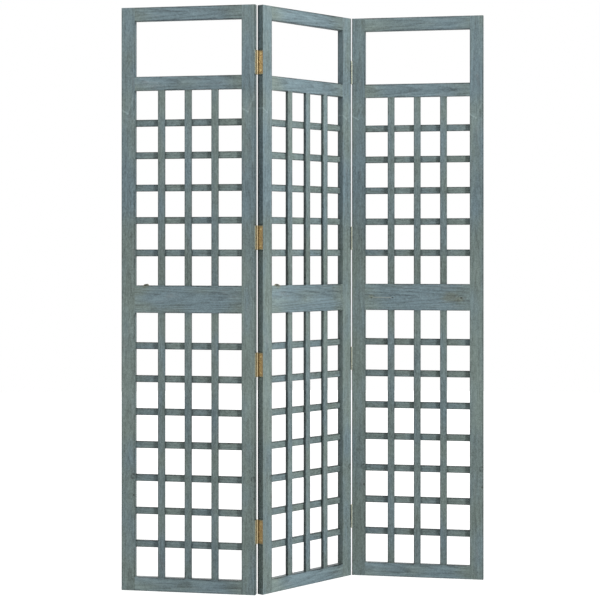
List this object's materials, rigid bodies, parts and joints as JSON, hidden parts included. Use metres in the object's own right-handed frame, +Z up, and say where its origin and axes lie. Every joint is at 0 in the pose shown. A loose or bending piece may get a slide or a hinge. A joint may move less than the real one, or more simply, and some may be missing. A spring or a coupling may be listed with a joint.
{
  "type": "folding garden screen",
  "caption": "Free-standing folding garden screen of hinged trellis panels, each a stained wooden frame with an open window above fields of lattice.",
  "frame": {"origin": "on the floor under the centre of the middle panel, which is also the centre of the box's base", "axes": "+Z up; +X to the right along the outer panels, seen from the front; +Y from the front to the back; the middle panel is turned 60 degrees from X towards Y"},
  "size_m": [1.022, 0.3792, 1.7],
  "materials": {
    "stained_wood": "blue-grey-green stain on sawn and sanded softwood, matt, grain along each piece",
    "hinge_brass": "satin brass-plated steel",
    "fastener_brass": "bright brass-plated steel"
  },
  "bodies": {
    "middle_panel": {"middle_panel_left_stile": "stained_wood", "middle_panel_right_stile": "stained_wood", "middle_panel_top_rail": "stained_wood", "middle_panel_window_rail": "stained_wood", "middle_panel_middle_rail": "stained_wood", "middle_panel_bottom_rail": "stained_wood", "middle_panel_upper_uprights": "stained_wood", "middle_panel_upper_crossbars": "stained_wood", "middle_panel_lower_uprights": "stained_wood", "middle_panel_lower_crossbars": "stained_wood", "left_top_hinge_middle_leaf": "hinge_brass", "left_top_hinge_pin": "fastener_brass", "left_upper_hinge_middle_leaf": "hinge_brass", "left_upper_hinge_pin": "fastener_brass", "left_lower_hinge_middle_leaf": "hinge_brass", "left_lower_hinge_pin": "fastener_brass", "left_bottom_hinge_middle_leaf": "hinge_brass", "left_bottom_hinge_pin": "fastener_brass", "right_top_hinge_middle_leaf": "hinge_brass", "right_top_hinge_pin": "fastener_brass", "right_upper_hinge_middle_leaf": "hinge_brass", "right_upper_hinge_pin": "fastener_brass", "right_lower_hinge_middle_leaf": "hinge_brass", "right_lower_hinge_pin": "fastener_brass", "right_bottom_hinge_middle_leaf": "hinge_brass", "right_bottom_hinge_pin": "fastener_brass", "middle_panel_left_hinge_screws": "fastener_brass", "middle_panel_right_hinge_screws": "fastener_brass"},
    "left_panel": {"left_panel_outer_stile": "stained_wood", "left_panel_hinge_stile": "stained_wood", "left_panel_top_rail": "stained_wood", "left_panel_window_rail": "stained_wood", "left_panel_middle_rail": "stained_wood", "left_panel_bottom_rail": "stained_wood", "left_panel_upper_uprights": "stained_wood", "left_panel_upper_crossbars": "stained_wood", "left_panel_lower_uprights": "stained_wood", "left_panel_lower_crossbars": "stained_wood", "left_top_hinge_left_leaf": "hinge_brass", "left_upper_hinge_left_leaf": "hinge_brass", "left_lower_hinge_left_leaf": "hinge_brass", "left_bottom_hinge_left_leaf": "hinge_brass", "left_panel_hinge_screws": "fastener_brass"},
    "right_panel": {"right_panel_hinge_stile": "stained_wood", "right_panel_outer_stile": "stained_wood", "right_panel_top_rail": "stained_wood", "right_panel_window_rail": "stained_wood", "right_panel_middle_rail": "stained_wood", "right_panel_bottom_rail": "stained_wood", "right_panel_upper_uprights": "stained_wood", "right_panel_upper_crossbars": "stained_wood", "right_panel_lower_uprights": "stained_wood", "right_panel_lower_crossbars": "stained_wood", "right_top_hinge_right_leaf": "hinge_brass", "right_upper_hinge_right_leaf": "hinge_brass", "right_lower_hinge_right_leaf": "hinge_brass", "right_bottom_hinge_right_leaf": "hinge_brass", "right_panel_hinge_screws": "fastener_brass"}
  },
  "joints": [
    {"name": "left_fold", "type": "hinge", "parent": "middle_panel", "child": "left_panel", "pos_m": [-0.10974, -0.16908, 0], "axis": [0, 0, 1], "range_deg": [-120, 60]},
    {"name": "right_fold", "type": "hinge", "parent": "middle_panel", "child": "right_panel", "pos_m": [0.10974, 0.16908, 0], "axis": [0, 0, 1], "range_deg": [-120, 60]}
  ]
}
